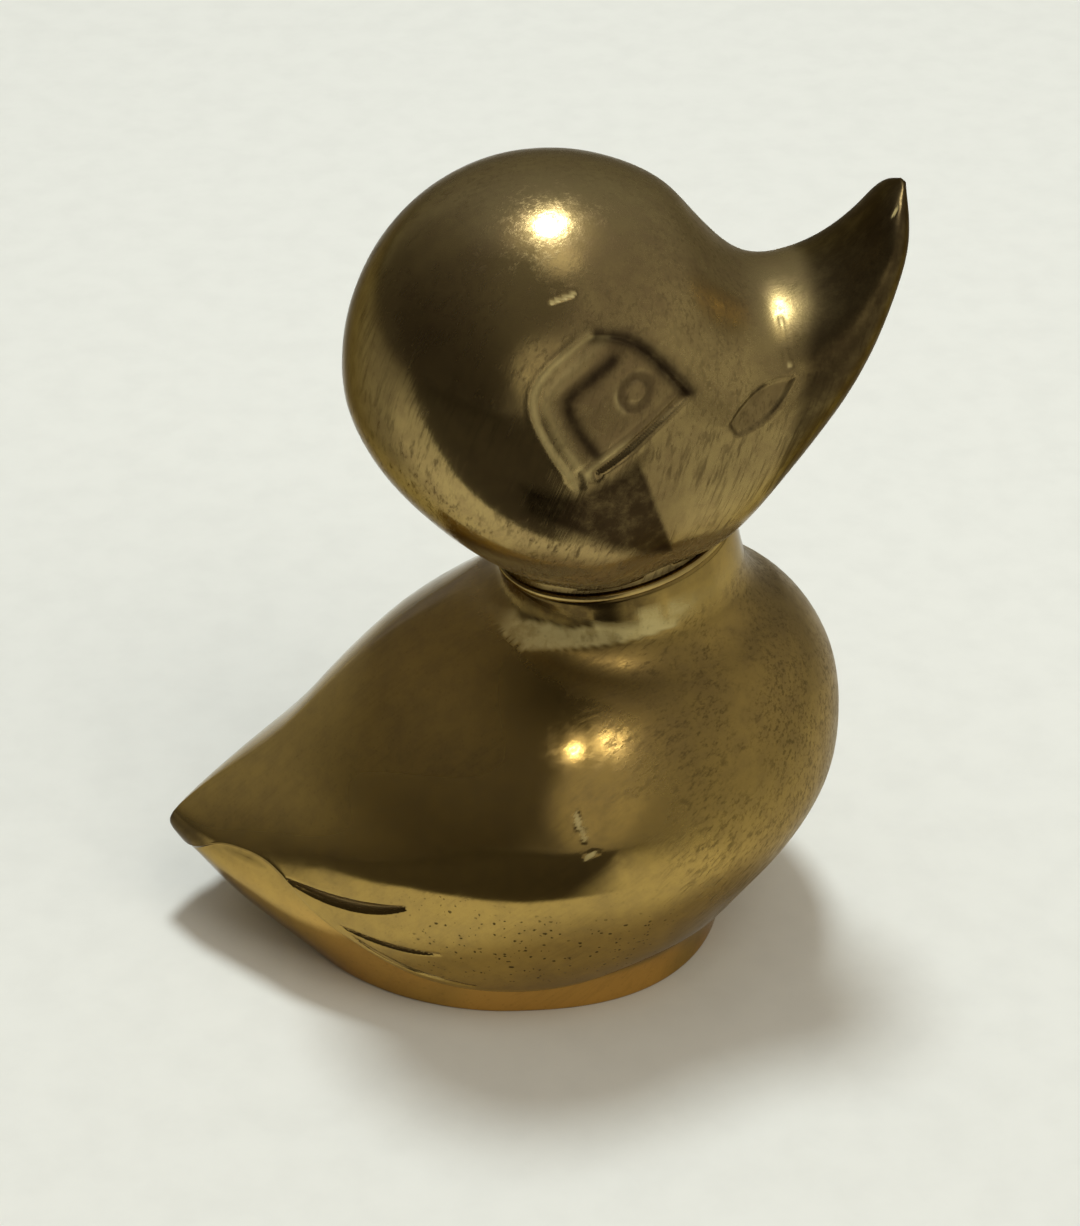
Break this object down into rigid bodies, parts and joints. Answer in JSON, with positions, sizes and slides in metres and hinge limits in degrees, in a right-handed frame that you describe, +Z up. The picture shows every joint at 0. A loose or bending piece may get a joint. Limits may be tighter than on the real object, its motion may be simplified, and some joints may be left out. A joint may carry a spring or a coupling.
{
  "type": "duck ornament",
  "caption": "Hollow cast brass duckling ornament with an upturned bill, engraved eyes and wing lines, and a head that turns on its neck.",
  "frame": {"origin": "on the ground under the middle of the object's box, between the tail tip and the bill tip", "axes": "+X the way the duck faces, +Y its left side, +Z up"},
  "size_m": [0.0772, 0.0518, 0.0915],
  "materials": {
    "polished_brass": "hand polished casting, browned with age",
    "turned_brass": "turned, lightly tarnished",
    "plated_steel": "dull plated steel"
  },
  "bodies": {
    "body": {"body_casting": "polished_brass", "neck_ring": "turned_brass", "flat_washer": "plated_steel"},
    "head": {"head_casting": "polished_brass", "neck_plug": "turned_brass", "neck_stud": "plated_steel", "spring_washer": "plated_steel", "stud_nut": "plated_steel", "lock_nut": "plated_steel"}
  },
  "joints": [
    {"name": "head_turn", "type": "hinge", "parent": "body", "child": "head", "pos_m": [0.00986, 0, 0.0491], "axis": [-0.2419, 0, 0.9703], "continuous": true}
  ]
}
